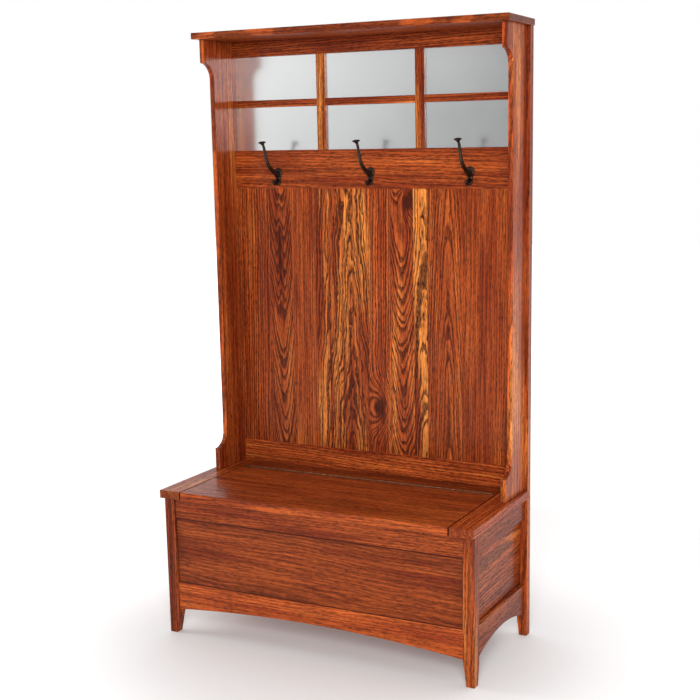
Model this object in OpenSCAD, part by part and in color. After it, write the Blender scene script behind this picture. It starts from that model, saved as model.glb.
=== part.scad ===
// Hall tree with a lift-lid storage bench, a six-light mirror and three cast hooks.
// Frame: X to the right, Y to the back, Z up; the origin is on the floor under the middle.

/* [Overall] */
// Height from the floor to the top of the crown board
overall_h = 1829; // [1520:1:2200]
// Width across the outer faces of the legs
body_w = 1024; // [860:1:1280]
// Depth from the front of the front legs to the back of the rear posts
body_d = 445; // [380:1:540]
// Height of the seat surface above the floor
seat_h = 461; // [380:1:555]

/* [Legs and posts] */
// Side of a square front leg, and the width of a rear post below the seat
leg_w = 35; // [30:1:50]
// Width of a rear post above the seat
post_w = 27; // [24:1:30]
// Thickness of a rear post from front to back
post_d = 26; // [22:1:40]
// How much narrower the foot is at the floor
taper_in = 10; // [4:1:14]

/* [Bench rails and panels] */
// Height of the top rails under the seat
top_rail_h = 64; // [45:1:80]
// Height above the floor of the upper edge of the bottom rails
low_rail_top = 164; // [135:1:190]
// Height of the crown of the arches above the floor
arch_top = 102; // [95:1:112]
// Rise of the front arch over its ends
front_rise = 25; // [10:1:40]
// Rise of the side arches over their ends
side_rise = 38; // [10:1:45]
// Thickness of the front rails
front_rail_t = 20; // [18:1:26]
// Thickness of the side rails
side_rail_t = 26; // [22:1:30]
// Step from the legs' front faces back to the front rails
front_set = 4; // [1:0.5:8]
// Step from the legs' outer faces in to the side rails
side_set = 9; // [2:0.5:9]
// Step from the front rails back to the front panel
front_panel_set = 1; // [0.5:0.5:3]
// Step from the side rails in to the side panels
side_panel_set = 14; // [8:0.5:14]
// Thickness of the flush front panel
front_panel_t = 15; // [14:1:16]
// Thickness of a side panel and of the tongue on the front panel
panel_t = 8; // [6:0.5:8]
// Depth of the panel grooves
groove = 7; // [4:0.5:9]
// Thickness of the chest bottom
bottom_t = 12; // [9:1:18]
// Thickness of the chest back panel
chest_back_t = 6; // [4:0.5:8]

/* [Seat] */
// Thickness of the end slabs, the rear strip and the lid
top_t = 25; // [20:1:32]
// Width of an end slab
slab_w = 72; // [55:1:100]
// Overhang of the seat past the legs at each end
end_over = 4; // [0:0.5:15]
// Overhang of the seat past the legs in front
front_over = 19; // [5:1:30]
// Gap between the lid and each end slab
lid_gap = 4; // [1:0.5:5]
// Width of the fixed strip behind the lid
strip_w = 88; // [60:1:120]
// Width of a batten under the lid
batten_w = 45; // [30:1:60]
// Thickness of a batten under the lid
batten_t = 18; // [12:1:24]

/* [Lid hinge] */
// Outer radius of a hinge knuckle
knuckle_r = 2.4; // [2:0.1:3.5]
// Radius of the hinge pin
pin_r = 1.1; // [0.8:0.1:1.4]
// Thickness of a hinge leaf
leaf_t = 1; // [0.8:0.1:1.2]
// Height of a hinge leaf
leaf_h = 18; // [14:1:19]
// Number of knuckles, shared by the two leaves
knuckles = 21; // [11:2:35]

/* [Upper part] */
// Thickness of an upper side board
side_t = 16; // [14:1:16]
// Step from a rear post's outer face in to the side board
board_set = 11; // [6:1:11]
// Depth of the side board at its head and at its foot
board_d = 153; // [120:1:200]
// Radius of the coves, which is how far the waist is cut back
cove_r = 48; // [30:1:60]
// Height of the straight head of the side board above the upper cove
head_h = 70; // [50:1:110]
// Height of the straight foot of the side board above the seat
foot_h = 69; // [40:1:100]
// Thickness of the crown board
crown_t = 19; // [16:1:30]
// Overhang of the crown board past the posts at each end
crown_over = 4; // [2:0.5:25]
// Overhang of the crown board past the side boards in front
crown_front = 23; // [5:1:40]

/* [Back frame] */
// Thickness of the back rails
back_rail_t = 22; // [20:1:24]
// Step from the posts' front faces back to the rails
back_set = 2; // [0:0.5:4]
// Visible height of the top rail under the crown board
top_h = 47; // [35:1:70]
// Height of the mirror lights together with the bar between them
mirror_h = 288; // [220:1:360]
// Height of the hook rail
hook_rail_h = 119; // [90:1:150]
// Height of the bottom rail above the seat
base_h = 69; // [40:1:110]
// Width of an upright mirror bar
mullion_w = 30; // [22:1:40]
// Height of a cross bar
bar_h = 22; // [18:1:36]
// Distance from the middle to an upright mirror bar
mullion_x = 167; // [130:1:185]
// Thickness of the mirror glass
glass_t = 4; // [3:0.5:5]
// Thickness of the wood in front of the glass
light_t = 8; // [6:0.5:9]
// Width of the rebates that hold the glass
rebate = 6; // [4:0.5:7]
// Thickness of the board behind the mirrors
backer_t = 5; // [3:0.5:6]
// Thickness of the back planks
plank_t = 12; // [9:0.5:13]
// Step from the back rails in to the planks
plank_set = 2; // [0.5:0.5:4]

/* [Hooks] */
// Distance between neighbouring hooks
hook_pitch = 327; // [200:1:380]
// Height of the middle of a hook plate above the hook rail's lower edge
hook_z = 38; // [36:1:48]
// Thickness of a hook plate
plate_t = 4; // [3:0.5:6]
// Radius of a prong
prong_r = 5; // [3.5:0.5:5.5]
// How far the upper prong reaches out from the rail
upper_reach = 91; // [75:1:110]
// How far the upper prong rises above the middle of the plate
upper_rise = 108; // [95:1:130]
// How far the lower prong reaches out from the rail
lower_reach = 37; // [30:1:50]

/* [Hidden] */

// Joinery: tenon length, tenon thickness, shoulder at each end, and the slack in a mortise
tenon_l = 8;
tenon_t = 8;
shoulder = 8;
slack = 0.2;
// Far enough past a surface to cut cleanly through it
past = 1;
// Facet counts for small round things and for the long flat arches
small_fn = 48;
arch_fn = 720;

// Places that the pieces share
half_w = body_w / 2;
leg_front = front_over - (body_d + front_over) / 2;
leg_back = leg_front + leg_w;
post_back = leg_front + body_d;
post_front = post_back - post_d;
seat_front = leg_front - front_over;
under_seat = seat_h - top_t;
crown_z = overall_h - crown_t;

// Bench rails and panels
rail_x = half_w - leg_w;
front_face = leg_front + front_set;
side_out = half_w - side_set;
side_in = side_out - side_rail_t;
panel_out = side_out - side_panel_set;
top_rail_z = under_seat - top_rail_h;
front_tongue = front_face + (front_rail_t - panel_t) / 2;
chest_back_y = post_front + (post_d - front_rail_t) / 2;
back_panel_y = chest_back_y + (front_rail_t - chest_back_t) / 2;
bottom_z = arch_top + (low_rail_top - arch_top - bottom_t) / 2;

// Back frame
post_in = half_w - post_w;
frame_y = post_front + back_set;
top_rail_bottom = crown_z - top_h;
hook_rail_top = top_rail_bottom - mirror_h;
hook_rail_z = hook_rail_top - hook_rail_h;
base_top = seat_h + base_h;
glass_y = frame_y + light_t;
backer_y = glass_y + glass_t;
light_h = (mirror_h - bar_h) / 2;
plank_y = frame_y + plank_set;
backer_lap = 7;

// Seat and hinge
strip_back = frame_y;
strip_front = strip_back - strip_w;
leaf_gap = 0.5;
hinge_gap = 2 * leaf_t + leaf_gap;
lid_back = strip_front - hinge_gap;
hinge_y = strip_front - hinge_gap / 2;
knuckle_clear = 0.3;
hinge_z = seat_h + knuckle_r + knuckle_clear;
slab_in = half_w + end_over - slab_w;
lid_x = slab_in - lid_gap;
hinge_end = 7;
hinge_x = lid_x - hinge_end;
pitch = 2 * hinge_x / knuckles;

// Upper side boards
board_out = half_w - board_set;
board_in = board_out - side_t;
board_front = post_front - board_d;
cove_top_z = crown_z - head_h - cove_r;
cove_low_z = seat_h + foot_h + cove_r;

// Share of the panel's width that each back plank takes, from left to right
plank_share = [118, 80, 86, 45, 139, 81, 76, 45, 112, 188];
function sum_to(list, n) = n == 0 ? 0 : list[n - 1] + sum_to(list, n - 1);
function plank_x(i) =
    -post_in + 2 * post_in * sum_to(plank_share, i) / sum_to(plank_share, len(plank_share));

// Colours of the finished piece
oak = [0.58, 0.28, 0.15];
light_oak = [0.72, 0.42, 0.2];
dark_oak = [0.5, 0.23, 0.13];
plain_wood = [0.66, 0.5, 0.34];
iron = [0.13, 0.11, 0.1];
brass = [0.45, 0.36, 0.22];
silver = [0.82, 0.83, 0.83];

// A box from one corner to the opposite corner
module block(a, b) {
    translate(a) cube(b - a);
}

// A pair made from the right-hand one
module mirrored(side) {
    if (side < 0) mirror([1, 0, 0]) children();
    else children();
}

// ---- Tenons of the right-hand side, or of both ends of a rail across the width ----

// Rail across the width: y and z are where it starts, t and h are its size
module cross_tenons(x, y, z, t, h, grow = 0) {
    for (side = [-1, 1])
        mirrored(side)
            block([x - past, y + (t - tenon_t) / 2 - grow, z + shoulder - grow],
                  [x + tenon_l + grow, y + (t + tenon_t) / 2 + grow, z + h - shoulder + grow]);
}

// Rail from front to back on the right
module side_tenons(z, h, grow = 0) {
    mid = (side_in + side_out) / 2;
    block([mid - tenon_t / 2 - grow, leg_back - tenon_l - grow, z + shoulder - grow],
          [mid + tenon_t / 2 + grow, leg_back + past, z + h - shoulder + grow]);
    block([mid - tenon_t / 2 - grow, post_front - past, z + shoulder - grow],
          [mid + tenon_t / 2 + grow, post_front + tenon_l + grow, z + h - shoulder + grow]);
}

// ---- Bench frame ----

// The end of each arch above the floor
front_spring = arch_top - front_rise;
side_spring = arch_top - side_rise;

module front_rail_tenons(grow = 0) {
    cross_tenons(rail_x, front_face, top_rail_z, front_rail_t, top_rail_h, grow);
    cross_tenons(rail_x, front_face, front_spring, front_rail_t, low_rail_top - front_spring, grow);
}

module side_rail_tenons(grow = 0) {
    side_tenons(top_rail_z, top_rail_h, grow);
    side_tenons(side_spring, low_rail_top - side_spring, grow);
}

module front_panel_tongue(grow = 0) {
    block([-rail_x - groove - grow, front_tongue - grow, low_rail_top - groove - grow],
          [rail_x + groove + grow, front_tongue + panel_t + grow, top_rail_z + groove + grow]);
}

module side_panel_board(grow = 0) {
    block([panel_out - panel_t - grow, leg_back - groove - grow, low_rail_top - groove - grow],
          [panel_out + grow, post_front + groove + grow, top_rail_z + groove + grow]);
}

// The bottom lies in grooves of the rails and runs between the posts to the back panel
module bottom_board(grow = 0) {
    block([-side_in - groove - grow, front_face + front_rail_t - groove - grow, bottom_z - grow],
          [side_in + groove + grow, post_front, bottom_z + bottom_t + grow]);
    block([-rail_x + slack, post_front - past, bottom_z - grow],
          [rail_x - slack, back_panel_y, bottom_z + bottom_t + grow]);
}

module chest_back_board(grow = 0) {
    block([-rail_x - groove - grow, back_panel_y - grow, arch_top],
          [rail_x + groove + grow, back_panel_y + chest_back_t + grow, top_rail_z + groove + grow]);
}

// Square leg, tapered on its two inner faces below the rails
module front_leg() {
    color(oak) difference() {
        intersection() {
            translate([0, leg_back + past, 0])
                rotate([90, 0, 0])
                    linear_extrude(leg_w + 2 * past)
                        polygon([[half_w, 0], [half_w, under_seat], [rail_x, under_seat],
                            [rail_x, front_spring], [rail_x + taper_in, 0]]);
            translate([rail_x - past, 0, 0])
                rotate([90, 0, 90])
                    linear_extrude(leg_w + 2 * past)
                        polygon([[leg_front, 0], [leg_front, under_seat], [leg_back, under_seat],
                            [leg_back, side_spring], [leg_back - taper_in, 0]]);
        }
        front_rail_tenons(slack);
        side_rail_tenons(slack);
        front_panel_tongue(slack);
        side_panel_board(slack);
        bottom_board(slack);
    }
}

module front_left_leg() {
    mirrored(-1) front_leg();
}

module front_right_leg() {
    front_leg();
}

// Post from the floor to the crown, wider below the seat and tapered at the foot
module rear_post() {
    color(dark_oak) difference() {
        translate([0, post_back, 0])
            rotate([90, 0, 0])
                linear_extrude(post_d)
                    polygon([[half_w, 0], [half_w, crown_z], [post_in, crown_z],
                        [post_in, under_seat], [rail_x, under_seat],
                        [rail_x, front_spring], [rail_x + taper_in, 0]]);
        side_rail_tenons(slack);
        side_panel_board(slack);
        chest_rail_tenons(slack);
        chest_back_board(slack);
        back_rail_tenons(slack);
        plank_field(slack);
        for (row = [0, 1]) glass(2, row, slack);
        bar_tenons(2, slack);
        backer_space();
    }
}

module rear_left_post() {
    mirrored(-1) rear_post();
}

module rear_right_post() {
    rear_post();
}

module front_top_rail() {
    color(oak) difference() {
        union() {
            block([-rail_x, front_face, top_rail_z], [rail_x, front_face + front_rail_t, under_seat]);
            cross_tenons(rail_x, front_face, top_rail_z, front_rail_t, top_rail_h);
        }
        front_panel_tongue(slack);
    }
}

// Cylinder that cuts an arch with this span and rise, lying along Y at the origin
module arch_cut(span, rise, deep) {
    radius = (span * span / 4 + rise * rise) / (2 * rise);
    translate([0, 0, arch_top - radius])
        rotate([90, 0, 0])
            cylinder(r = radius, h = deep, center = true, $fn = arch_fn);
}

module front_bottom_rail() {
    color(oak) difference() {
        union() {
            block([-rail_x, front_face, front_spring],
                  [rail_x, front_face + front_rail_t, low_rail_top]);
            cross_tenons(rail_x, front_face, front_spring, front_rail_t,
                low_rail_top - front_spring);
        }
        intersection() {
            arch_cut(2 * rail_x, front_rise, 2 * body_d);
            block([-rail_x, -body_d, 0], [rail_x, body_d, arch_top + past]);
        }
        front_panel_tongue(slack);
        bottom_board(slack);
    }
}

module front_panel() {
    color(oak) union() {
        front_panel_tongue();
        block([-rail_x, front_face + front_panel_set, low_rail_top],
              [rail_x, front_face + front_panel_set + front_panel_t, top_rail_z]);
    }
}

module side_top_rail() {
    color(oak) difference() {
        union() {
            block([side_in, leg_back, top_rail_z], [side_out, post_front, under_seat]);
            side_tenons(top_rail_z, top_rail_h);
        }
        side_panel_board(slack);
    }
}

module side_bottom_rail() {
    mid = (leg_back + post_front) / 2;
    color(oak) difference() {
        union() {
            block([side_in, leg_back, side_spring], [side_out, post_front, low_rail_top]);
            side_tenons(side_spring, low_rail_top - side_spring);
        }
        intersection() {
            translate([0, mid, 0])
                rotate([0, 0, 90])
                    arch_cut(post_front - leg_back, side_rise, 2 * body_w);
            block([0, leg_back, 0], [body_w, post_front, arch_top + past]);
        }
        side_panel_board(slack);
        bottom_board(slack);
    }
}

module side_panel() {
    color(oak) side_panel_board();
}

module left_top_rail() {
    mirrored(-1) side_top_rail();
}

module right_top_rail() {
    side_top_rail();
}

module left_bottom_rail() {
    mirrored(-1) side_bottom_rail();
}

module right_bottom_rail() {
    side_bottom_rail();
}

module left_panel() {
    mirrored(-1) side_panel();
}

module right_panel() {
    side_panel();
}

module chest_rail_tenons(grow = 0) {
    cross_tenons(rail_x, chest_back_y, top_rail_z, front_rail_t, top_rail_h, grow);
}

module chest_back_rail() {
    color(dark_oak) difference() {
        union() {
            block([-rail_x, chest_back_y, top_rail_z],
                  [rail_x, chest_back_y + front_rail_t, under_seat]);
            chest_rail_tenons();
        }
        chest_back_board(slack);
    }
}

module chest_back_panel() {
    color(plain_wood) chest_back_board();
}

module chest_bottom() {
    color(plain_wood) bottom_board();
}

// ---- Seat ----

// End slab, with a tongue beside the post that closes the step to the back rail
module seat_slab() {
    color(oak) union() {
        block([slab_in, seat_front, under_seat], [half_w + end_over, post_front, seat_h]);
        block([slab_in, post_front - past, under_seat], [post_in, frame_y, seat_h]);
    }
}

module left_seat_slab() {
    mirrored(-1) seat_slab();
}

module right_seat_slab() {
    seat_slab();
}

module rear_seat_strip() {
    color(oak) difference() {
        block([-slab_in, strip_front, under_seat], [slab_in, strip_back, seat_h]);
        leaf_screws(1, slack);
    }
}

module lid() {
    color(oak) difference() {
        block([-lid_x, seat_front, under_seat], [lid_x, lid_back, seat_h]);
        leaf_screws(-1, slack);
        batten_screw_set(slack);
    }
}

// Battens under the lid, set in from the rails so that they clear them as it opens
batten_front_clear = 12;
batten_back_clear = 14;
batten_front = front_face + front_rail_t + batten_front_clear;
batten_back = lid_back - batten_back_clear;
batten_spread = 0.72 * lid_x;
batten_x = [-batten_spread, 0, batten_spread];
batten_screw_at = [0.15, 0.5, 0.85];

module lid_battens() {
    color(plain_wood) difference() {
        for (x = batten_x)
            block([x - batten_w / 2, batten_front, under_seat - batten_t],
                  [x + batten_w / 2, batten_back, under_seat]);
        batten_screw_set(slack);
    }
}

// Countersunk wood screw pointing up along Z, with its head's face at z = 0
module wood_screw(length, shank_r, head_r, grow = 0) {
    cylinder(r = shank_r + grow, h = length + grow, $fn = small_fn);
    cylinder(r1 = head_r + grow, r2 = shank_r + grow, h = head_r, $fn = small_fn);
}

screw_r = 1.9;
screw_head_r = 3.8;
batten_screw_cover = 8;
batten_screw_l = batten_t + top_t - batten_screw_cover;

module batten_screw_set(grow = 0) {
    for (x = batten_x)
        for (share = batten_screw_at)
            translate([x, batten_front + share * (batten_back - batten_front), under_seat - batten_t])
                wood_screw(batten_screw_l, screw_r, screw_head_r, grow);
}

module batten_screws() {
    color(brass) batten_screw_set();
}

// ---- Continuous lid hinge: the fixed leaf holds the pin and has the odd knuckles ----

end_clear = 0.25;
bore_slack = 0.08;

module knuckle(i, radius, trim) {
    translate([-hinge_x + i * pitch + trim, hinge_y, hinge_z])
        rotate([0, 90, 0])
            cylinder(r = radius, h = pitch - 2 * trim, $fn = small_fn);
}

// Leaf plate against the wood, with a web up to each of its own knuckles
module leaf(side, first, bore) {
    inner = side * leaf_gap / 2;
    outer = side * (leaf_gap / 2 + leaf_t);
    y0 = hinge_y + min(inner, outer);
    y1 = hinge_y + max(inner, outer);
    plate_top = seat_h - knuckle_clear;
    difference() {
        union() {
            block([-hinge_x, y0, plate_top - leaf_h], [hinge_x, y1, plate_top]);
            for (i = [first:2:knuckles - 1]) {
                knuckle(i, knuckle_r, end_clear);
                block([-hinge_x + i * pitch + end_clear, y0, plate_top - past],
                      [-hinge_x + (i + 1) * pitch - end_clear, y1, hinge_z]);
            }
        }
        translate([-hinge_x - past, hinge_y, hinge_z])
            rotate([0, 90, 0])
                cylinder(r = bore, h = 2 * hinge_x + 2 * past, $fn = small_fn);
        leaf_screws(side, 0);
    }
}

module hinge_fixed_leaf() {
    color(brass) leaf(1, 0, pin_r + bore_slack);
}

module hinge_moving_leaf() {
    color(brass) leaf(-1, 1, pin_r + bore_slack);
}

module hinge_pin() {
    color(brass)
        translate([-hinge_x, hinge_y, hinge_z])
            rotate([0, 90, 0])
                cylinder(r = pin_r, h = 2 * hinge_x, $fn = small_fn);
}

leaf_screw_n = 9;
leaf_screw_r = 1.2;
leaf_head_r = 2.4;
leaf_head_t = 0.8 * leaf_t;
leaf_screw_l = 14;

// Screws through one leaf into the wood behind it: side 1 is the strip, side -1 is the lid
module leaf_screws(side, grow = 0) {
    for (i = [0:leaf_screw_n - 1])
        translate([-hinge_x + (i + 0.5) * 2 * hinge_x / leaf_screw_n,
                   hinge_y + side * leaf_gap / 2,
                   seat_h - knuckle_clear - leaf_h / 2])
            rotate([side * -90, 0, 0]) {
                cylinder(r = leaf_screw_r + grow, h = leaf_screw_l + grow, $fn = small_fn);
                cylinder(r1 = leaf_head_r + grow, r2 = leaf_screw_r + grow, h = leaf_head_t,
                    $fn = small_fn);
            }
}

module fixed_leaf_screws() {
    color(brass) leaf_screws(1);
}

module moving_leaf_screws() {
    color(brass) leaf_screws(-1);
}

// ---- Upper side boards and crown ----

// Side view of the board: a straight head and foot with a cut-back waist between two coves
module side_board() {
    color(oak)
        translate([board_in, board_front, 0])
            rotate([90, 0, 90])
                linear_extrude(side_t)
                    difference() {
                        translate([0, seat_h]) square([board_d, crown_z - seat_h]);
                        translate([0, cove_low_z]) square([cove_r, cove_top_z - cove_low_z]);
                        for (z = [cove_low_z, cove_top_z])
                            translate([0, z]) circle(r = cove_r, $fn = 2 * small_fn);
                    }
}

module left_side_board() {
    mirrored(-1) side_board();
}

module right_side_board() {
    side_board();
}

module crown_board() {
    color(oak) block([-half_w - crown_over, board_front - crown_front, crown_z],
                     [half_w + crown_over, post_back, overall_h]);
}

// ---- Back frame ----

module back_rail_tenons(grow = 0) {
    cross_tenons(post_in, frame_y, top_rail_bottom, back_rail_t, top_h, grow);
    cross_tenons(post_in, frame_y, hook_rail_z, back_rail_t, hook_rail_h, grow);
    cross_tenons(post_in, frame_y, under_seat, back_rail_t, base_top - under_seat, grow);
}

// Rail of the back frame from z to z + h, with its own pair of tenons
module back_rail(z, h) {
    block([-post_in, frame_y, z], [post_in, frame_y + back_rail_t, z + h]);
    cross_tenons(post_in, frame_y, z, back_rail_t, h);
}

// Whole field of planks, with its tongues in the posts and the rails
module plank_field(grow = 0) {
    block([-post_in - groove - grow, plank_y - grow, base_top - groove - grow],
          [post_in + groove + grow, plank_y + plank_t + grow, hook_rail_z + groove + grow]);
}

// One plank of the field; the outer two reach into the posts' grooves
module back_plank(i) {
    last = len(plank_share) - 1;
    intersection() {
        plank_field();
        block([i == 0 ? -half_w : plank_x(i), plank_y - past, base_top - 2 * groove],
              [i == last ? half_w : plank_x(i + 1), plank_y + plank_t + past,
               hook_rail_z + 2 * groove]);
    }
}

// Left edge and right edge of the opening of a mirror column, 0 to 2
light_x = [[-post_in, -mullion_x - mullion_w / 2],
           [-mullion_x + mullion_w / 2, mullion_x - mullion_w / 2],
           [mullion_x + mullion_w / 2, post_in]];
glass_play = 0.5;
glass_lap = rebate - glass_play;

// Mirror in column 0 to 2 and row 0 (lower) or 1 (upper)
module glass(column, row, grow = 0) {
    lap = glass_lap + grow;
    z = hook_rail_top + row * (light_h + bar_h);
    block([light_x[column][0] - lap, glass_y, z - lap],
          [light_x[column][1] + lap, backer_y, z + light_h + lap]);
}

module all_glass(grow) {
    for (column = [0:2])
        for (row = [0, 1])
            glass(column, row, grow);
}

// Room for the backer, open to the rear
module backer_space() {
    block([-post_in - backer_lap - slack, backer_y, hook_rail_top - backer_lap - slack],
          [post_in + backer_lap + slack, post_back + past, top_rail_bottom + backer_lap + slack]);
}

// Stub tenons at the ends of the mirror bars
stub_l = 7;
stub_half = 4;
mullion_stub_half = 8;
stub_front = frame_y + 2;
stub_back = glass_y + 2;

// Stub tenons at the ends of an upright mirror bar
module mullion_tenons(side, grow = 0) {
    x = side * mullion_x;
    block([x - mullion_stub_half - grow, stub_front - grow, hook_rail_top - stub_l - grow],
          [x + mullion_stub_half + grow, stub_back + grow, top_rail_bottom + stub_l + grow]);
}

// Stub tenons at the ends of the cross bar in a column
module bar_tenons(column, grow = 0) {
    z = hook_rail_top + light_h + bar_h / 2;
    block([light_x[column][0] - stub_l - grow, stub_front - grow, z - stub_half - grow],
          [light_x[column][1] + stub_l + grow, stub_back + grow, z + stub_half + grow]);
}

module mullion(side) {
    x = side * mullion_x;
    color(light_oak) difference() {
        union() {
            block([x - mullion_w / 2, frame_y, hook_rail_top],
                  [x + mullion_w / 2, backer_y, top_rail_bottom]);
            mullion_tenons(side);
        }
        all_glass(slack);
        for (column = [0:2]) bar_tenons(column, slack);
    }
}

module cross_bar(column) {
    z = hook_rail_top + light_h;
    color(oak) difference() {
        union() {
            block([light_x[column][0], frame_y, z], [light_x[column][1], backer_y, z + bar_h]);
            bar_tenons(column);
        }
        all_glass(slack);
    }
}

module back_top_rail() {
    color(oak) difference() {
        back_rail(top_rail_bottom, top_h);
        all_glass(slack);
        backer_space();
        for (side = [-1, 1]) mullion_tenons(side, slack);
    }
}

module hook_rail() {
    color(oak) difference() {
        back_rail(hook_rail_z, hook_rail_h);
        all_glass(slack);
        backer_space();
        for (side = [-1, 1]) mullion_tenons(side, slack);
        plank_field(slack);
        hook_screw_set(slack);
    }
}

module back_base_rail() {
    color(oak) difference() {
        back_rail(under_seat, base_top - under_seat);
        plank_field(slack);
    }
}

module mirror_backer() {
    color(plain_wood)
        block([-post_in - backer_lap, backer_y, hook_rail_top - backer_lap],
              [post_in + backer_lap, backer_y + backer_t, top_rail_bottom + backer_lap]);
}

// ---- Cast hat-and-coat hooks ----

hook_height = hook_rail_z + hook_z;
hook_screw_x = 9.5;
hook_screw_z = 14;
hook_screw_r = 1.6;
hook_head_r = 3;
hook_head_top_r = 1.8;
hook_head_t = 1.6;
hook_screw_l = 18;

// The hook is drawn in its side view, [out from the rail, up], and turned to stand on the rail
module side_view() {
    rotate([90, 0, -90]) children();
}

function along(angle) = [cos(angle), sin(angle)];

// Straight piece of a prong from a point, with a radius at each end
module straight(from, angle, length, r1, r2) {
    translate([from[0], from[1], 0]) rotate([0, 90, angle])
        cylinder(r1 = r1, r2 = r2, h = length, $fn = small_fn);
}

// Slight swelling that joins two pieces of a prong
module joint(at) {
    translate([at[0], at[1], 0]) sphere(r = prong_r + joint_swell, $fn = small_fn);
}

// Bend that begins at a point with one heading and ends with another
module bend(from, start, finish, radius, r) {
    turn = finish > start ? 1 : -1;
    centre = from + turn * radius * along(start + 90);
    translate([centre[0], centre[1], 0])
        rotate([0, 0, min(start, finish) - turn * 90])
            rotate_extrude(angle = abs(finish - start), $fn = small_fn * 2)
                translate([radius, 0]) circle(r = r, $fn = small_fn);
}

// Step from the start of a bend to its end
function bend_step(start, finish, radius) =
    (finish > start ? 1 : -1) * radius * (along(start + 90) - along(finish + 90));

plate_head_r = 15;
plate_foot_r = 9;
plate_waist_r = 7.5;
plate_head_z = 11.5;
plate_foot_z = -19;
upper_boss_r = 9.5;
lower_boss_r = 7.5;
boss_l = 11;
upper_start = [2.6, 5];
upper_slope = 31;
upper_steep = 72;
upper_lean = 62;
upper_bend = 42;
disc_r = 12;
disc_t = 3;
neck_l = 7;
neck_r = 7;
joint_swell = 0.25;
lower_start = [2.6, -13];
lower_slope = -28;
lower_lift = 52;
lower_bend = 13;
tip_r = 5.6;

// The two straight runs of the upper prong fill the reach and the rise the bends leave
upper_end = [upper_reach, upper_rise - disc_t];
upper_fixed = bend_step(upper_slope, upper_steep, upper_bend)
    + bend_step(upper_steep, upper_lean, upper_bend) + neck_l * along(upper_lean);
upper_left = upper_end - upper_start - upper_fixed;
upper_turn = sin(upper_steep - upper_slope);
upper_run_1 = (upper_left[0] * sin(upper_steep) - upper_left[1] * cos(upper_steep)) / upper_turn;
upper_run_2 = (upper_left[1] * cos(upper_slope) - upper_left[0] * sin(upper_slope)) / upper_turn;
upper_2 = upper_start + upper_run_1 * along(upper_slope);
upper_3 = upper_2 + bend_step(upper_slope, upper_steep, upper_bend);
upper_4 = upper_3 + upper_run_2 * along(upper_steep);
upper_5 = upper_4 + bend_step(upper_steep, upper_lean, upper_bend);

// The lower prong's one straight run fills its reach
lower_step = bend_step(lower_slope, lower_lift, lower_bend);
lower_run = (lower_reach - lower_start[0] - lower_step[0] - tip_r) / cos(lower_slope);
lower_2 = lower_start + lower_run * along(lower_slope);
lower_end = lower_2 + lower_step;

module hook_plate() {
    rotate([90, 0, 0]) linear_extrude(plate_t) {
        translate([0, plate_head_z]) circle(r = plate_head_r, $fn = small_fn);
        translate([0, plate_foot_z]) circle(r = plate_foot_r, $fn = small_fn);
        translate([-plate_waist_r, plate_foot_z])
            square([plate_waist_r * 2, plate_head_z - plate_foot_z]);
    }
}

// Plate against the rail with a long upper prong, a disc on its end, and a short lower prong
module hook() {
    hook_plate();
    side_view() {
        straight([0, upper_start[1]], 0, boss_l, upper_boss_r, prong_r);
        straight([0, lower_start[1]], 0, boss_l, lower_boss_r, prong_r);
        for (at = [upper_2, upper_3, upper_4, upper_5, lower_2]) joint(at);
        straight(upper_start, upper_slope, upper_run_1, prong_r, prong_r);
        bend(upper_2, upper_slope, upper_steep, upper_bend, prong_r);
        straight(upper_3, upper_steep, upper_run_2, prong_r, prong_r);
        bend(upper_4, upper_steep, upper_lean, upper_bend, prong_r);
        straight(upper_5, upper_lean, neck_l, prong_r, neck_r);
        translate([upper_end[0], upper_end[1], 0]) rotate([-90, 0, 0])
            cylinder(r = disc_r, h = disc_t, $fn = small_fn);
        straight(lower_start, lower_slope, lower_run, prong_r, prong_r);
        bend(lower_2, lower_slope, lower_lift, lower_bend, prong_r);
        translate([lower_end[0], lower_end[1], 0]) sphere(r = tip_r, $fn = small_fn);
    }
}

module placed_hook(i) {
    color(iron) difference() {
        translate([i * hook_pitch, frame_y, hook_height]) hook();
        hook_screw_set(slack);
    }
}

// Two screws in each plate, with their heads on its face
module hook_screw_set(grow = 0) {
    for (i = [-1:1])
        for (side = [-1, 1])
            translate([i * hook_pitch + side * hook_screw_x, frame_y, hook_height + hook_screw_z])
                rotate([-90, 0, 0])
                    translate([0, 0, -plate_t])
                        cylinder(r = hook_screw_r + grow, h = plate_t + hook_screw_l + grow,
                            $fn = small_fn);
}

module hook_screws() {
    color(iron) {
        hook_screw_set();
        for (i = [-1:1])
            for (side = [-1, 1])
                translate([i * hook_pitch + side * hook_screw_x, frame_y - plate_t,
                           hook_height + hook_screw_z])
                    rotate([90, 0, 0])
                        cylinder(r1 = hook_head_r, r2 = hook_head_top_r, h = hook_head_t,
                            $fn = small_fn);
    }
}

front_left_leg();
front_right_leg();
rear_left_post();
rear_right_post();
front_top_rail();
front_panel();
front_bottom_rail();
left_top_rail();
left_panel();
left_bottom_rail();
right_top_rail();
right_panel();
right_bottom_rail();
chest_back_rail();
chest_back_panel();
chest_bottom();
left_seat_slab();
right_seat_slab();
rear_seat_strip();
left_side_board();
right_side_board();
crown_board();
back_top_rail();
hook_rail();
back_base_rail();
mullion(-1);  // left_mullion
mullion(1);  // right_mullion
cross_bar(0);  // left_cross_bar
cross_bar(1);  // middle_cross_bar
cross_bar(2);  // right_cross_bar
color(silver) glass(0, 1);  // mirror_upper_left
color(silver) glass(1, 1);  // mirror_upper_middle
color(silver) glass(2, 1);  // mirror_upper_right
color(silver) glass(0, 0);  // mirror_lower_left
color(silver) glass(1, 0);  // mirror_lower_middle
color(silver) glass(2, 0);  // mirror_lower_right
mirror_backer();
color(oak) back_plank(0);  // back_plank_1
color(oak) back_plank(1);  // back_plank_2
color(oak) back_plank(2);  // back_plank_3
color(light_oak) back_plank(3);  // back_plank_4
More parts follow.
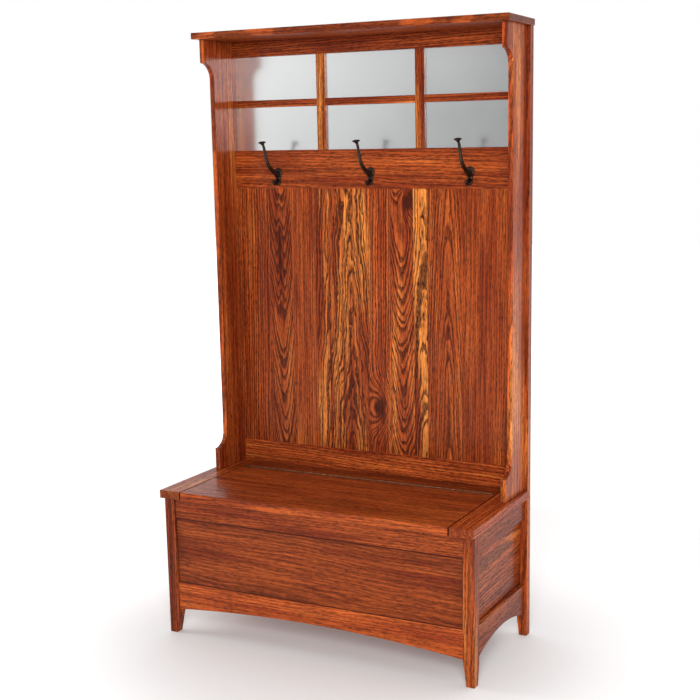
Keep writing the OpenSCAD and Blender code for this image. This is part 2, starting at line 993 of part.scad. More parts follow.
color(light_oak) back_plank(4);  // back_plank_5
color(oak) back_plank(5);  // back_plank_6
color(dark_oak) back_plank(6);  // back_plank_7
color(light_oak) back_plank(7);  // back_plank_8
color(oak) back_plank(8);  // back_plank_9
color(oak) back_plank(9);  // back_plank_10
placed_hook(-1);  // left_hook
placed_hook(0);  // middle_hook
placed_hook(1);  // right_hook
hook_screws();
lid();
lid_battens();
batten_screws();
hinge_fixed_leaf();
hinge_pin();
hinge_moving_leaf();
fixed_leaf_screws();
moving_leaf_screws();
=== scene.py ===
"""Hall tree with hooks: oak materials, mirrors, cast hooks, studio floor, lights and camera."""

import math

import bmesh
import bpy
from mathutils import Matrix, Vector


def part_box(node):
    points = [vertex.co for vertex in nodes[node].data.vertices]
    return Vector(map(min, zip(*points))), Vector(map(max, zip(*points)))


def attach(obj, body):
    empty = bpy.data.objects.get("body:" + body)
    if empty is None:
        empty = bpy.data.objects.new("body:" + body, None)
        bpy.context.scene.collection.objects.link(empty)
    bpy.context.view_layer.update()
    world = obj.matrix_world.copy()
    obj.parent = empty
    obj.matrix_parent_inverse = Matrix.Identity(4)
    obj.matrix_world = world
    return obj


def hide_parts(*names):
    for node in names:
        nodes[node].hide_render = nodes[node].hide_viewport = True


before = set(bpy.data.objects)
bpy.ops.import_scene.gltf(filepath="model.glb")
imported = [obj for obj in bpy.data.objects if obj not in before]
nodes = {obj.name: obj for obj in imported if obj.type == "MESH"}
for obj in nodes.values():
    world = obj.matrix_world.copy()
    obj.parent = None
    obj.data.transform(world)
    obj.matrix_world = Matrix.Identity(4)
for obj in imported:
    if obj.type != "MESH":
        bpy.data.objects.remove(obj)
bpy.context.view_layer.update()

# ---------------------------------------------------------------- node helpers


class Tree:
    """Short calls to add nodes to one node tree and link them."""

    def __init__(self, tree):
        self.tree = tree
        self.tree.nodes.clear()

    def add(self, kind, inputs=None, **settings):
        node = self.tree.nodes.new(kind)
        for key, value in settings.items():
            setattr(node, key, value)
        for key, value in (inputs or {}).items():
            self.put(node, key, value)
        return node

    def put(self, node, key, value):
        if isinstance(value, bpy.types.NodeSocket):
            self.tree.links.new(value, node.inputs[key])
        else:
            node.inputs[key].default_value = value

    def math(self, operation, a, b=None, c=None, clamp=False):
        values = {i: v for i, v in enumerate((a, b, c)) if v is not None}
        return self.add("ShaderNodeMath", values, operation=operation, use_clamp=clamp).outputs[0]

    def vector(self, operation, a, b):
        return self.add("ShaderNodeVectorMath", {0: a, 1: b}, operation=operation).outputs[0]

    def noise(self, vector, scale=1.0, detail=2.0, roughness=0.5):
        inputs = {"Vector": vector, "Scale": scale, "Detail": detail, "Roughness": roughness}
        return self.add("ShaderNodeTexNoise", inputs).outputs["Fac"]

    def remap(self, value, low, high, to_low=0.0, to_high=1.0, kind="SMOOTHSTEP"):
        inputs = {"Value": value, "From Min": low, "From Max": high, "To Min": to_low, "To Max": to_high}
        node = self.add("ShaderNodeMapRange", inputs, interpolation_type=kind)
        return node.outputs["Result"]

    def mix(self, factor, a, b, blend="MIX"):
        node = self.add("ShaderNodeMix", data_type="RGBA", blend_type=blend)
        self.put(node, "Factor", factor)
        for key, value in (("A", a), ("B", b)):
            socket = [s for s in node.inputs if s.name == key and s.type == "RGBA"][0]
            if isinstance(value, bpy.types.NodeSocket):
                self.tree.links.new(value, socket)
            else:
                socket.default_value = (*value, 1.0)
        return [s for s in node.outputs if s.type == "RGBA"][0]


# ---------------------------------------------------------------- oak

FIGURE_INPUTS = ("Pith across", "Pith depth", "Cone", "Rings", "Waves", "Knot size", "Knot stretch")
# Marks per metre along the grain, across the face and into the board
SLOW_WANDER = (3.0, 11.0, 11.0)
QUICK_WANDER = (17.0, 46.0, 46.0)
PORE_DASHES = (55.0, 340.0, 340.0)
FIBRE_LINES = (7.0, 220.0, 220.0)
BROAD_STREAKS = (1.7, 16.0, 16.0)
NARROW_STREAKS = (2.4, 70.0, 70.0)
# Years of uneven growth per metre of radius, and by how many rings they shift the count
YEARS_PER_METRE = 70.0
YEAR_SHIFT = 2.2
# A place outside every board, for boards without a knot
NO_KNOT = (9.0, 9.0, 0.0)


def make_figure():
    """Node group that turns a board's own metres (x along the grain) into its ring figure."""
    group = bpy.data.node_groups.new("oak_figure", "ShaderNodeTree")
    face = group.interface
    for name in ("Place", "Noise place", "Knot"):
        face.new_socket(name, in_out="INPUT", socket_type="NodeSocketVector")
    for name in FIGURE_INPUTS:
        face.new_socket(name, in_out="INPUT", socket_type="NodeSocketFloat")
    for name in ("Early wood", "Tone", "Fibre", "Knot heart"):
        face.new_socket(name, in_out="OUTPUT", socket_type="NodeSocketFloat")
    t = Tree(group)
    given = t.add("NodeGroupInput").outputs
    place, noise_place = given["Place"], given["Noise place"]
    axes = t.add("ShaderNodeSeparateXYZ", {0: place}).outputs

    # slow and quick wander of the rings, in metres once scaled by Waves
    slow = t.noise(t.vector("MULTIPLY", noise_place, SLOW_WANDER), detail=1.0)
    quick = t.noise(t.vector("MULTIPLY", noise_place, QUICK_WANDER), detail=2.0)
    wander = t.math("ADD", t.math("SUBTRACT", slow, 0.5), t.math("MULTIPLY_ADD", quick, 0.3, -0.15))
    wander = t.math("MULTIPLY", wander, given["Waves"])

    # knot: the rings bulge round it and its heart is dark
    off = t.add("ShaderNodeSeparateXYZ", {0: t.vector("SUBTRACT", place, given["Knot"])}).outputs
    lengthwise = t.math("DIVIDE", off["X"], t.math("MAXIMUM", given["Knot stretch"], 0.1))
    flat = t.add("ShaderNodeCombineXYZ", {"X": lengthwise, "Y": off["Y"]}).outputs[0]
    near = t.add("ShaderNodeVectorMath", {0: flat}, operation="LENGTH").outputs["Value"]
    near = t.math("DIVIDE", near, t.math("MAXIMUM", given["Knot size"], 0.0001))
    bulge = t.math("EXPONENT", t.math("MULTIPLY", t.math("MULTIPLY", near, near), -0.5))
    bulge = t.math("MULTIPLY", bulge, t.math("MULTIPLY", given["Knot size"], 2.0))
    ragged = t.math("MULTIPLY_ADD", quick, 1.8, t.math("ADD", near, -0.9))
    heart = t.remap(ragged, 0.90, 0.40)

    # distance from the pith of a tree that narrows along the board
    across = t.math("SUBTRACT", axes["Y"], given["Pith across"])
    depth = t.math("SUBTRACT", axes["Z"], given["Pith depth"])
    flat = t.add("ShaderNodeCombineXYZ", {"X": across, "Y": depth}).outputs[0]
    radius = t.add("ShaderNodeVectorMath", {0: flat}, operation="LENGTH").outputs["Value"]
    radius = t.math("MULTIPLY_ADD", axes["X"], given["Cone"], radius)
    radius = t.math("ADD", t.math("ADD", radius, wander), bulge)
    year_place = t.add("ShaderNodeCombineXYZ", {"X": t.math("MULTIPLY", radius, YEARS_PER_METRE)}).outputs[0]
    years = t.noise(year_place, detail=1.0)
    count = t.math("MULTIPLY_ADD", radius, given["Rings"], t.math("MULTIPLY", years, YEAR_SHIFT))
    ring = t.math("FRACT", count)
    early = t.math("MAXIMUM", t.remap(ring, 0.60, 0.30), t.remap(ring, 0.93, 1.0))

    # pores are short dashes along the grain
    dashes = t.noise(t.vector("MULTIPLY", noise_place, PORE_DASHES), detail=2.0, roughness=0.6)
    fibre = t.noise(t.vector("MULTIPLY", noise_place, FIBRE_LINES), detail=2.0, roughness=0.7)
    pores = t.remap(dashes, 0.46, 0.58)
    early = t.math("MULTIPLY", early, t.math("MULTIPLY_ADD", pores, 0.3, 0.7))
    broad = t.noise(t.vector("MULTIPLY", noise_place, BROAD_STREAKS), detail=2.0)
    narrow = t.noise(t.vector("MULTIPLY", noise_place, NARROW_STREAKS), detail=2.0)
    tone = t.math("MULTIPLY_ADD", broad, 0.6, t.math("MULTIPLY", narrow, 0.4))

    out = t.add("NodeGroupOutput")
    t.put(out, "Early wood", early)
    t.put(out, "Tone", tone)
    lines = t.remap(fibre, 0.47, 0.54)
    t.put(out, "Fibre", t.math("MULTIPLY_ADD", pores, 0.5, t.math("MULTIPLY", lines, 0.5)))
    t.put(out, "Knot heart", heart)
    return group


FIGURE = make_figure()
# Stained and lacquered oak, linear colours
DEEP = (0.270, 0.0380, 0.0090)
WARM = (0.510, 0.0980, 0.0190)
GOLD = (0.880, 0.2900, 0.0560)
PORE = (0.042, 0.0060, 0.0022)
# Metres from the edge of a panel's visible face: reach of the painted shade cast by the frame, full strength
# of the painted shadow line in the joint, end of that shadow line
SHADE_REACH = 0.060
GAP_SHADOW_FULL = 0.0015
GAP_SHADOW_REACH = 0.0055


def oak(node, along, across, pith=(0.0, 0.05), cone=0.02, rings=170.0, waves=0.014, gold=0.2,
        early=0.7, fibre=0.7, shade=1.0, knot=None, knot_size=0.0, knot_stretch=2.2, seed=0.0,
        tongue=None, painted_gap_shade_side=0):
    """Stained oak for one board: `along` and `across` are the axes of its grain and its face.

    `tongue` is how far the board's edges go into its frame; towards the frame the colour is darkened as
    painted shade, with a painted shadow line along the joint.
    `painted_gap_shade_side` is the sign of the side, on the face's axis, that lies in a narrow gap; that face
    is darkened all over as painted shade.
    """
    low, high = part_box(node)
    centre = (low + high) / 2
    material = bpy.data.materials.new("oak_" + node)
    material.use_nodes = True
    t = Tree(material.node_tree)
    coordinates = t.add("ShaderNodeTexCoord").outputs
    spot = t.vector("SUBTRACT", coordinates["Object"], tuple(centre))
    parts = t.add("ShaderNodeSeparateXYZ", {0: spot}).outputs
    rest = [a for a in "XYZ" if a not in (along, across)][0]
    place = t.add("ShaderNodeCombineXYZ", {0: parts[along], 1: parts[across], 2: parts[rest]}).outputs[0]
    noise_place = t.vector("ADD", place, (seed * 3.7, seed * 1.9, seed * 5.3))
    figure = t.add("ShaderNodeGroup", node_tree=FIGURE)
    t.put(figure, "Place", place)
    t.put(figure, "Noise place", noise_place)
    t.put(figure, "Knot", (*knot, 0.0) if knot else NO_KNOT)
    for key, value in zip(FIGURE_INPUTS, (pith[0], pith[1], cone, rings, waves, knot_size, knot_stretch)):
        t.put(figure, key, value)
    got = figure.outputs
    # shade scales the board's colours: its own tone, and on the right-hand side board, rear post and seat
    # slab also a painted sheen that makes that side paler
    deep, warm, golden, pore = (tuple(shade * c for c in colour) for colour in (DEEP, WARM, GOLD, PORE))

    # colour: slow streaks from deep red-brown to gold, darker early wood and pores
    body = t.mix(t.remap(got["Tone"], 0.34, 0.58), deep, warm)
    golden_streak = t.remap(got["Tone"], 0.60 - 0.20 * gold, 0.74 - 0.16 * gold)
    body = t.mix(t.math("MULTIPLY", golden_streak, min(1.0, 0.3 + gold)), body, golden)
    body = t.mix(t.math("MULTIPLY", got["Early wood"], early), body, pore)
    body = t.mix(t.math("MULTIPLY", got["Fibre"], fibre), body, pore)
    body = t.mix(t.math("MULTIPLY", got["Knot heart"], 0.85), body, PORE)

    # end grain takes up more stain
    facing = t.add("ShaderNodeSeparateXYZ", {0: coordinates["Normal"]}).outputs[along]
    body = t.mix(t.remap(t.math("ABSOLUTE", facing), 0.6, 0.9, 0.0, 0.5), body, pore)

    # painted shade: the face that lies in the narrow gap beside the lid is darkened all over
    if painted_gap_shade_side:
        side = t.add("ShaderNodeSeparateXYZ", {0: coordinates["Normal"]}).outputs[across]
        body = t.mix(t.remap(t.math("MULTIPLY", side, painted_gap_shade_side), 0.3, 0.8, 0.0, 0.92), body, PORE)
    if tongue is not None:
        half = (high - low) / 2
        room = [t.math("SUBTRACT", getattr(half, a.lower()) - tongue, t.math("ABSOLUTE", parts[a]))
                for a in (along, across)]
        inset = t.math("MINIMUM", *room)
        # painted shade: darker towards the frame over a few centimetres, and a painted shadow line in the
        # joint between panel and frame
        body = t.mix(t.remap(inset, 0.0, SHADE_REACH, 0.30, 0.0), body, pore)
        body = t.mix(t.remap(inset, GAP_SHADOW_FULL, GAP_SHADOW_REACH, 0.88, 0.0), body, PORE)

    rough = t.remap(got["Fibre"], 0.2, 0.8, 0.30, 0.46, kind="LINEAR")
    relief = t.math("MULTIPLY", got["Fibre"], 0.5)
    grain = t.math("SUBTRACT", t.math("MULTIPLY", got["Early wood"], -0.7), relief)
    bump = t.add("ShaderNodeBump", {"Height": grain, "Strength": 0.3, "Distance": 0.0005}).outputs[0]
    lacquer = {"Base Color": body, "Roughness": rough, "Normal": bump, "IOR": 1.14,
               "Coat Weight": 0.25, "Coat Roughness": 0.16, "Coat IOR": 1.32}
    shader = t.add("ShaderNodeBsdfPrincipled", lacquer)
    t.add("ShaderNodeOutputMaterial", {"Surface": shader.outputs[0]})
    return material


WELD_REACH = 0.00001
SHARP = math.radians(35)


def dress(node, material, edge=0.0):
    """Gives a CAD node its material and eases its sharp edges by `edge` metres."""
    piece = nodes[node]
    piece.data.materials.clear()
    piece.data.materials.append(material)
    if edge:
        weld = piece.modifiers.new("weld", "WELD")
        weld.merge_threshold = WELD_REACH
        bevel = piece.modifiers.new("ease", "BEVEL")
        bevel.width = edge
        bevel.segments = 2
        bevel.limit_method = "ANGLE"
        bevel.angle_limit = SHARP
        bevel.harden_normals = True


# Boards by name: grain axis, axis across the face, edge easing in mm, and how the figure looks
BOARDS = {
    "crown_board": ("X", "Z", 2.2, dict(pith=(0.02, 0.3), rings=150, gold=0.1, waves=0.01)),
    "back_top_rail": ("X", "Z", 1.2, dict(pith=(0.2, 0.1), rings=160, gold=0.2)),
    "hook_rail": ("X", "Z", 1.2, dict(
        pith=(-0.10, 0.06), cone=0.03, rings=130, gold=0.15, early=0.6, shade=1.05)),
    "back_base_rail": ("X", "Z", 1.2, dict(
        pith=(-0.10, 0.06), cone=0.03, rings=140, gold=0.4, early=0.7, shade=1.35)),
    "left_mullion": ("Z", "X", 0.6, dict(pith=(0.1, 0.05), rings=160, gold=0.9)),
    "right_mullion": ("Z", "X", 0.6, dict(pith=(-0.1, 0.05), rings=160, gold=0.8)),
    "left_cross_bar": ("X", "Z", 0.6, dict(pith=(0.2, 0.1), rings=160, gold=0.5)),
    "middle_cross_bar": ("X", "Z", 0.6, dict(pith=(0.2, 0.1), rings=160, gold=0.5)),
    "right_cross_bar": ("X", "Z", 0.6, dict(pith=(0.2, 0.1), rings=160, gold=0.6)),
    "left_side_board": ("Z", "Y", 1.8, dict(pith=(0.5, 0.1), rings=110, gold=0.3, shade=1.2)),
    # painted light: a higher shade than the left board, a painted sheen that makes the right side paler
    "right_side_board": ("Z", "Y", 1.8, dict(pith=(0.3, 0.1), rings=160, gold=0.5, shade=1.35)),
    "rear_left_post": ("Z", "Y", 1.5, dict(pith=(0.3, 0.1), rings=110, gold=0.3, shade=1.1)),
    # painted light: a higher shade than the left post, a painted sheen on the right side
    "rear_right_post": ("Z", "Y", 1.5, dict(pith=(0.3, 0.1), rings=120, gold=0.5, shade=1.2)),
    "front_left_leg": ("Z", "X", 1.6, dict(pith=(0.3, 0.1), rings=110, gold=0.4, early=0.8)),
    "front_right_leg": ("Z", "X", 1.6, dict(pith=(0.25, 0.1), rings=110, gold=0.5)),
    "front_top_rail": ("X", "Z", 1.6, dict(pith=(0.2, 0.1), rings=140, gold=0.0, early=0.4, shade=0.9)),
    "front_panel": ("X", "Z", 2.0, dict(
        pith=(-0.12, 0.07), cone=0.03, rings=110, waves=0.03, gold=0.0, early=0.5, fibre=0.6,
        shade=0.84, tongue=0.007)),
    "front_bottom_rail": ("X", "Z", 1.6, dict(
        pith=(0.3, 0.1), rings=110, gold=0.3, early=0.3, shade=1.25)),
    "left_top_rail": ("Y", "Z", 1.2, dict(pith=(0.2, 0.1), rings=185)),
    "left_panel": ("Y", "Z", 0.4, dict(pith=(0.05, 0.06), rings=110)),
    "left_bottom_rail": ("Y", "Z", 1.2, dict(pith=(0.3, 0.1), rings=175)),
    "right_top_rail": ("Y", "Z", 1.2, dict(pith=(0.2, 0.1), rings=185)),
    "right_panel": ("Y", "Z", 0.4, dict(pith=(0.05, 0.06), rings=110)),
    "right_bottom_rail": ("Y", "Z", 1.2, dict(pith=(0.3, 0.1), rings=175)),
    "chest_back_rail": ("X", "Z", 0.6, dict(pith=(0.2, 0.1), rings=125)),
    "chest_back_panel": ("X", "Z", 0.3, dict(pith=(0.0, 0.06), rings=95)),
    "chest_bottom": ("X", "Y", 0.3, dict(pith=(0.0, 0.06), rings=95)),
    "left_seat_slab": ("Y", "X", 2.4, dict(
        pith=(0.2, 0.1), rings=110, gold=0.3, early=0.5, shade=1.1, painted_gap_shade_side=1)),
    # painted light: a higher shade than the left slab, a painted sheen on the right side
    "right_seat_slab": ("Y", "X", 2.4, dict(
        pith=(0.2, 0.1), rings=110, gold=0.5, early=0.5, shade=1.45, painted_gap_shade_side=-1)),
    "rear_seat_strip": ("X", "Y", 1.0, dict(pith=(0.2, 0.1), rings=120, gold=0.05, shade=0.9)),
    "lid": ("X", "Y", 1.6, dict(
        pith=(-0.1, 0.05), cone=0.03, rings=75, gold=0.05, early=0.5, shade=1.1)),
    "lid_battens": ("Y", "X", 1.0, dict(pith=(0.2, 0.1), rings=125)),
    "mirror_backer": ("X", "Z", 0.3, dict(pith=(0.2, 0.1), rings=55)),
    "back_plank_1": ("Z", "X", 0.3, dict(
        pith=(0.20, 0.06), rings=120, gold=0.15, waves=0.02, early=0.8, shade=1.08)),
    "back_plank_2": ("Z", "X", 0.3, dict(
        pith=(0.0, 0.012), cone=-0.16, rings=120, gold=0.3, waves=0.02, early=0.95, knot=(0.2, -0.002),
        knot_size=0.007, knot_stretch=20)),
    "back_plank_3": ("Z", "X", 0.3, dict(pith=(0.3, 0.1), rings=130, gold=0.3, early=0.6)),
    "back_plank_4": ("Z", "X", 0.3, dict(
        pith=(0.03, 0.02), cone=0.05, rings=130, gold=0.7, waves=0.03, early=0.95)),
    "back_plank_5": ("Z", "X", 0.3, dict(
        pith=(0.01, 0.012), cone=0.08, rings=100, waves=0.07, gold=0.7, early=1.0)),
    "back_plank_6": ("Z", "X", 0.3, dict(
        pith=(0.12, 0.03), rings=130, gold=0.4, waves=0.02, early=0.95, shade=1.15, knot=(-0.27, 0.0),
        knot_size=0.030, knot_stretch=1.8)),
    "back_plank_7": ("Z", "X", 0.3, dict(
        pith=(0.0, 0.012), cone=-0.2, rings=120, gold=0.4, waves=0.03, early=1.0, shade=1.15,
        knot=(0.375, 0.026), knot_size=0.026, knot_stretch=1.7)),
    "back_plank_8": ("Z", "X", 0.3, dict(
        pith=(0.012, 0.014), cone=0.08, rings=105, gold=1.2, waves=0.06, early=1.0, fibre=0.55)),
    "back_plank_9": ("Z", "X", 0.3, dict(
        pith=(0.015, 0.012), cone=0.05, rings=130, gold=0.3, waves=0.02, early=0.85)),
    "back_plank_10": ("Z", "X", 0.3, dict(pith=(0.3, 0.1), rings=130, gold=0.15, early=0.5)),
}

for number, (name, (along, across, edge, look)) in enumerate(BOARDS.items()):
    dress(name, oak(name, along, across, seed=1.0 + number, **look), edge / 1000)

# ---------------------------------------------------------------- metal and mirror


# Patina clouds and surface grain of metal, marks per metre
PATINA = 90.0
METAL_GRAIN = 1080.0


def metal(name, colour, roughness, patina):
    """Metal with a patina that varies from place to place."""
    material = bpy.data.materials.new(name)
    material.use_nodes = True
    t = Tree(material.node_tree)
    spot = t.add("ShaderNodeTexCoord").outputs["Object"]
    cloud = t.noise(spot, scale=PATINA, detail=4.0)
    body = t.mix(t.remap(cloud, 0.35, 0.7), colour, patina)
    rough = t.remap(cloud, 0.3, 0.7, roughness, roughness + 0.18, kind="LINEAR")
    grain = t.noise(spot, scale=METAL_GRAIN, detail=2.0)
    normal = t.add("ShaderNodeBump", {"Height": grain, "Strength": 0.15, "Distance": 0.0003}).outputs[0]
    shader = t.add("ShaderNodeBsdfPrincipled",
                   {"Base Color": body, "Metallic": 1.0, "Roughness": rough, "Normal": normal})
    t.add("ShaderNodeOutputMaterial", {"Surface": shader.outputs[0]})
    return material


def silvered():
    """Softly blurred mirror under clear glass, with a barely uneven silvering."""
    material = bpy.data.materials.new("silvered_glass")
    material.use_nodes = True
    t = Tree(material.node_tree)
    spot = t.add("ShaderNodeTexCoord").outputs["Object"]
    cloud = t.noise(spot, scale=6.0, detail=2.0)
    body = t.mix(cloud, (0.80, 0.81, 0.81), (0.86, 0.87, 0.87))
    rough = t.remap(cloud, 0.3, 0.7, 0.20, 0.22, kind="LINEAR")
    glass = {"Base Color": body, "Metallic": 1.0, "Roughness": rough,
             "Coat Weight": 1.0, "Coat Roughness": 0.02, "Coat IOR": 1.45}
    shader = t.add("ShaderNodeBsdfPrincipled", glass)
    t.add("ShaderNodeOutputMaterial", {"Surface": shader.outputs[0]})
    return material


BRONZE = metal("dark_bronze", (0.035, 0.028, 0.025), 0.38, (0.075, 0.052, 0.040))
BRASS = metal("hinge_brass", (0.32, 0.15, 0.08), 0.5, (0.20, 0.09, 0.05))
ZINC = metal("zinc_screw", (0.55, 0.55, 0.56), 0.35, (0.42, 0.42, 0.43))
MIRROR = silvered()

for row in ("upper", "lower"):
    for column in ("left", "middle", "right"):
        dress("mirror_%s_%s" % (row, column), MIRROR)
HINGE_EDGE = 0.0001
SCREW_EDGE = 0.0002
for name in ("hinge_fixed_leaf", "hinge_moving_leaf", "hinge_pin", "fixed_leaf_screws", "moving_leaf_screws"):
    dress(name, BRASS, HINGE_EDGE)
dress("batten_screws", ZINC, SCREW_EDGE)

# ---------------------------------------------------------------- cast hooks

# Prong centre lines, mm: out from the rail, up from the plate's middle, half width, half thickness
UPPER_PRONG = ((1, 3, 11, 9), (8, 6, 9.5, 8.2), (21, 12, 7.6, 7), (38, 20, 6.4, 6), (54, 31, 5.8, 5.6),
               (65, 44, 5.4, 5.2), (71, 58, 5, 4.8), (76, 74, 4.6, 4.4), (81, 89, 4.3, 4), (88, 102, 4.3, 4))
LOWER_PRONG = ((1, -12, 8, 6.5), (7, -16, 6.8, 5.8), (14, -20, 6, 5.4), (20, -22, 5.6, 5.2),
               (26, -21, 5.6, 5.3), (30, -17, 5.6, 5.6), (31.5, -14, 3.8, 3.8), (32, -13, 0.4, 0.4))
# Half outline of the mushroom end and of a screw head, mm: radius, height
MUSHROOM = ((0.2, -7), (4.3, -7), (5.2, -4.6), (8.2, -2.2), (11.3, -1), (12, 0.2), (11.6, 1.4), (8.5, 2.8),
            (4, 3.5), (0.2, 3.6))
SCREW_HEAD = ((0.2, -1), (3.2, -1), (3.2, 0.2), (2.6, 1.1), (1.5, 1.6), (0.9, 1.5), (0.2, 0.6))
# Plate, mm: the rounds of its head and foot, their heights, and how much the waist draws in
HEAD_R, FOOT_R, HEAD_Z, FOOT_Z, WAIST = 15.0, 9.0, 11.5, -19.0, 2.6
# Plate, from the rail out: distance in mm and share of the outline
PLATE_LAYERS = ((0.0, 1.0), (2.0, 1.0), (3.2, 0.94), (4.3, 0.80), (5.0, 0.50))
# Screw heads, mm: to each side, up, and out from the rail
SCREW_PLACE = (9.5, 14.0, 4.6)
MUSHROOM_PLACE = (0, -91, 104.4)
MUSHROOM_TILT = math.radians(12)
# Points round a rod, round the plate, and between two given points of a curve
RING = 24
PLATE_POINTS = 48
STEPS = 5


def smooth(points):
    """Catmull-Rom curve through points of any size."""
    vectors = [Vector(p) for p in points]
    ends = [2 * vectors[0] - vectors[1]] + vectors + [2 * vectors[-1] - vectors[-2]]
    out = []
    for i in range(1, len(ends) - 2):
        a, b, c, d = ends[i - 1:i + 3]
        for k in range(STEPS):
            u = k / STEPS
            out.append(0.5 * (2 * b + (c - a) * u + (2 * a - 5 * b + 4 * c - d) * u * u
                              + (3 * b - 3 * c + d - a) * u ** 3))
    return out + [vectors[-1]]


def skin(rings, name):
    """Closed mesh through rings of equal length, with a fan at each end."""
    vertices = [v for ring in rings for v in ring]
    count = len(rings[0])
    faces = []
    for i in range(len(rings) - 1):
        for k in range(count):
            a, b = i * count + k, i * count + (k + 1) % count
            faces.append((a, b, b + count, a + count))
    faces.append(tuple(reversed(range(count))))
    faces.append(tuple(range(len(vertices) - count, len(vertices))))
    mesh = bpy.data.meshes.new(name)
    mesh.from_pydata(vertices, [], faces)
    work = bmesh.new()
    work.from_mesh(mesh)
    bmesh.ops.recalc_face_normals(work, faces=work.faces)
    work.to_mesh(mesh)
    work.free()
    mesh.polygons.foreach_set("use_smooth", [len(p.vertices) == 4 for p in mesh.polygons])
    return mesh


def prong(points, name):
    """Oval rod along a smooth line in the hook's side plane."""
    line = smooth(points)
    rings = []
    for i, point in enumerate(line):
        ahead = line[min(i + 1, len(line) - 1)] - line[max(i - 1, 0)]
        normal = Vector((-ahead[1], ahead[0])).normalized()
        ring = []
        for k in range(RING):
            turn = 2 * math.pi * k / RING
            side = point[3] * math.sin(turn)
            out, up = point[0] + normal.x * side, point[1] + normal.y * side
            ring.append((point[2] * math.cos(turn), -out, up))
        rings.append(ring)
    return skin(rings, name)


def lathe(outline, name):
    """Round solid about Z."""
    turns = [2 * math.pi * k / RING for k in range(RING)]
    return skin([[(r * math.cos(a), r * math.sin(a), z) for a in turns] for r, z in outline], name)


def plate_half_width(z):
    """Half width of the plate at height z: round head, drawn-in waist, round foot."""
    if z >= HEAD_Z:
        return math.sqrt(max(HEAD_R ** 2 - (z - HEAD_Z) ** 2, 0))
    if z <= FOOT_Z:
        return math.sqrt(max(FOOT_R ** 2 - (z - FOOT_Z) ** 2, 0))
    u = (z - FOOT_Z) / (HEAD_Z - FOOT_Z)
    return FOOT_R + (HEAD_R - FOOT_R) * u * u * (3 - 2 * u) - WAIST * math.sin(math.pi * u)


def plate():
    """Pillowed plate, wide at the head and narrow at the foot."""
    low, high = FOOT_Z - FOOT_R, HEAD_Z + HEAD_R
    middle, half = (low + high) / 2, (high - low) / 2
    outline = []
    for k in range(PLATE_POINTS):
        turn = 2 * math.pi * k / PLATE_POINTS
        z = middle + half * math.sin(turn)
        outline.append((math.copysign(plate_half_width(z), math.cos(turn)), z))
    rings = []
    for out, scale in PLATE_LAYERS:
        rings.append([(x * scale, -out, middle + (z - middle) * scale) for x, z in outline])
    return skin(rings, "plate")


def joined(parts, name):
    """One object from (mesh, matrix) pairs in millimetres."""
    work = bmesh.new()
    for mesh, matrix in parts:
        mesh.transform(matrix)
        work.from_mesh(mesh)
        bpy.data.meshes.remove(mesh)
    whole = bpy.data.meshes.new(name)
    work.to_mesh(whole)
    work.free()
    whole.transform(Matrix.Scale(0.001, 4))
    piece = bpy.data.objects.new(name, whole)
    bpy.context.scene.collection.objects.link(piece)
    return piece


def cast_hook(side):
    """Hook on its rail, in place of the CAD node of the same side."""
    node = side + "_hook"
    low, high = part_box(node)
    end = Matrix.Translation(MUSHROOM_PLACE) @ Matrix.Rotation(MUSHROOM_TILT, 4, "X")
    parts = [(plate(), Matrix()), (prong(UPPER_PRONG, "upper"), Matrix()),
             (prong(LOWER_PRONG, "lower"), Matrix()), (lathe(MUSHROOM, "mushroom"), end)]
    piece = joined(parts, "cast_" + node)
    piece.location = ((low.x + high.x) / 2, high.y, low.z + (FOOT_R - FOOT_Z) / 1000)
    piece.data.materials.append(BRONZE)
    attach(piece, "cabinet")
    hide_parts(node)
    return piece.location.copy()


def hook_screw_heads(places):
    """Two domed heads on each plate, in place of the CAD node hook_screws."""
    aside, up, out = SCREW_PLACE
    facing = Matrix.Rotation(math.radians(90), 4, "X")
    parts = []
    for place in places:
        for side in (-1, 1):
            spot = place * 1000 + Vector((side * aside, -out, up))
            parts.append((lathe(SCREW_HEAD, "head"), Matrix.Translation(spot) @ facing))
    piece = joined(parts, "hook_screw_heads")
    piece.data.materials.append(BRONZE)
    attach(piece, "cabinet")
    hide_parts("hook_screws")


hook_screw_heads([cast_hook(side) for side in ("left", "middle", "right")])

# ---------------------------------------------------------------- studio

FLOOR_SIZE = 30.0
AIM = (0, 0, 0.9)


def make_floor():
    """Pale floor that glows into a white background away from the object."""
    mesh = bpy.data.meshes.new("floor")
    half = FLOOR_SIZE / 2
    corners = [(-half, -half, 0), (half, -half, 0), (half, half, 0), (-half, half, 0)]
    mesh.from_pydata(corners, [], [(0, 1, 2, 3)])
    floor = bpy.data.objects.new("floor", mesh)
    bpy.context.scene.collection.objects.link(floor)
    material = bpy.data.materials.new("pale_floor")
    material.use_nodes = True
    t = Tree(material.node_tree)
    spot = t.add("ShaderNodeTexCoord").outputs["Object"]
    place = t.add("ShaderNodeSeparateXYZ", {0: spot}).outputs
    reach = t.add("ShaderNodeVectorMath", {0: spot}, operation="LENGTH").outputs["Value"]
    glow = t.math("MAXIMUM", t.remap(place["Y"], 0.8, 3.0), t.remap(reach, 0.5, 0.95, 0.04, 0.24))
    paper = {"Base Color": (0.95, 0.95, 0.95, 1), "Roughness": 0.6, "Specular IOR Level": 0.1,
             "Emission Color": (1, 1, 1, 1), "Emission Strength": glow}
    shader = t.add("ShaderNodeBsdfPrincipled", paper)
    t.add("ShaderNodeOutputMaterial", {"Surface": shader.outputs[0]})
    mesh.materials.append(material)


def add_light(name, place, size, power):
    """Soft white lamp that faces the middle of the object."""
    light = bpy.data.lights.new(name, "AREA")
    light.shape = "RECTANGLE"
    light.size, light.size_y = size
    light.energy = power
    lamp = bpy.data.objects.new(name, light)
    lamp.location = place
    lamp.rotation_euler = (Vector(AIM) - Vector(place)).to_track_quat("-Z", "Y").to_euler()
    bpy.context.scene.collection.objects.link(lamp)


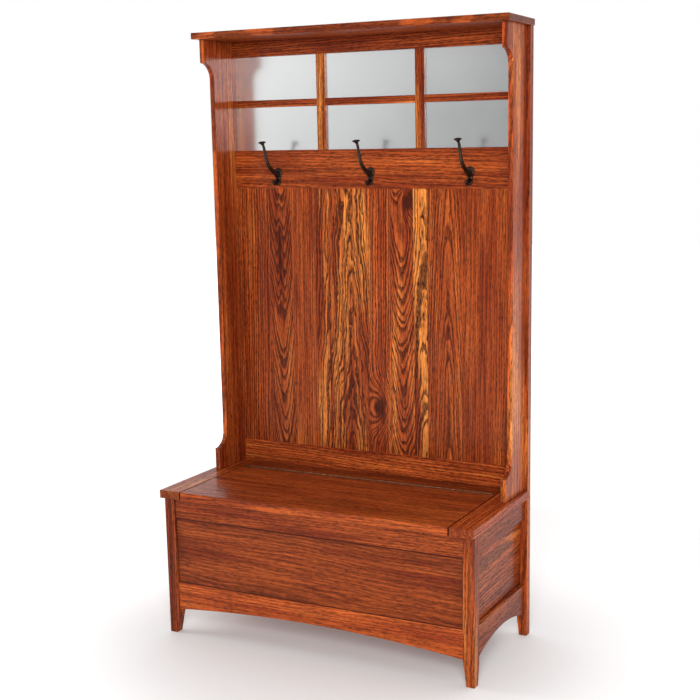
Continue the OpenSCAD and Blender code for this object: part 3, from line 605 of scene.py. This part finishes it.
def make_world():
    """White for the camera; for reflections and light, a graded card in a dim room."""
    world = bpy.data.worlds.new("studio")
    bpy.context.scene.world = world
    world.use_nodes = True
    t = Tree(world.node_tree)
    aim = t.add("ShaderNodeSeparateXYZ", {0: t.add("ShaderNodeTexCoord").outputs["Generated"]}).outputs
    # graded card in front of the mirror, bright to the left; a dim room above; a white wall behind
    card = t.math("MULTIPLY_ADD", aim["X"], -4.5, t.math("MULTIPLY_ADD", aim["Z"], 3.2, -1.5))
    card = t.math("MULTIPLY", t.math("MINIMUM", card, 1.2), t.remap(aim["Z"], 0.55, 0.25))
    behind = t.remap(aim["Y"], -0.2, 0.3)
    grey = t.math("MAXIMUM", t.math("MAXIMUM", card, behind), 0.22)
    soft = t.add("ShaderNodeBackground", {"Color": (1, 1, 1, 1), "Strength": grey})
    white = t.add("ShaderNodeBackground", {"Color": (1, 1, 1, 1), "Strength": 1.0})
    seen = t.add("ShaderNodeLightPath").outputs["Is Camera Ray"]
    both = t.add("ShaderNodeMixShader", {0: seen, 1: soft.outputs[0], 2: white.outputs[0]})
    t.add("ShaderNodeOutputWorld", {"Surface": both.outputs[0]})


def make_camera():
    """Camera at the angle of the photograph, from a solved place, turn, pitch and roll."""
    place = Vector((1.7454, -3.2213, 1.4742))
    turn, pitch, roll = math.radians(26.5642), math.radians(-10.4653), math.radians(-0.8447)
    focal, centre, side = 1247.64, (382.65, 379.43), 700.0
    ahead = Vector((-math.sin(turn) * math.cos(pitch), math.cos(turn) * math.cos(pitch), math.sin(pitch)))
    right = ahead.cross(Vector((0, 0, 1))).normalized()
    up = right.cross(ahead)
    right_rolled = right * math.cos(roll) + up * math.sin(roll)
    up_rolled = up * math.cos(roll) - right * math.sin(roll)
    lens = bpy.data.cameras.new("camera")
    lens.sensor_width = 36.0
    lens.lens = focal / side * lens.sensor_width
    lens.shift_x = (side / 2 - centre[0]) / side
    lens.shift_y = (centre[1] - side / 2) / side
    lens.clip_end = 100.0
    camera = bpy.data.objects.new("camera", lens)
    turned = Matrix((right_rolled, up_rolled, -ahead)).transposed()
    camera.matrix_world = Matrix.Translation(place) @ turned.to_4x4()
    bpy.context.scene.collection.objects.link(camera)
    bpy.context.scene.camera = camera


make_floor()
make_world()
make_camera()
add_light("key", (2.4, -4.6, 2.6), (2.0, 2.0), 200)
add_light("side", (-4.6, -0.8, 2.2), (1.6, 2.4), 70)
bpy.context.scene.view_settings.view_transform = "Standard"
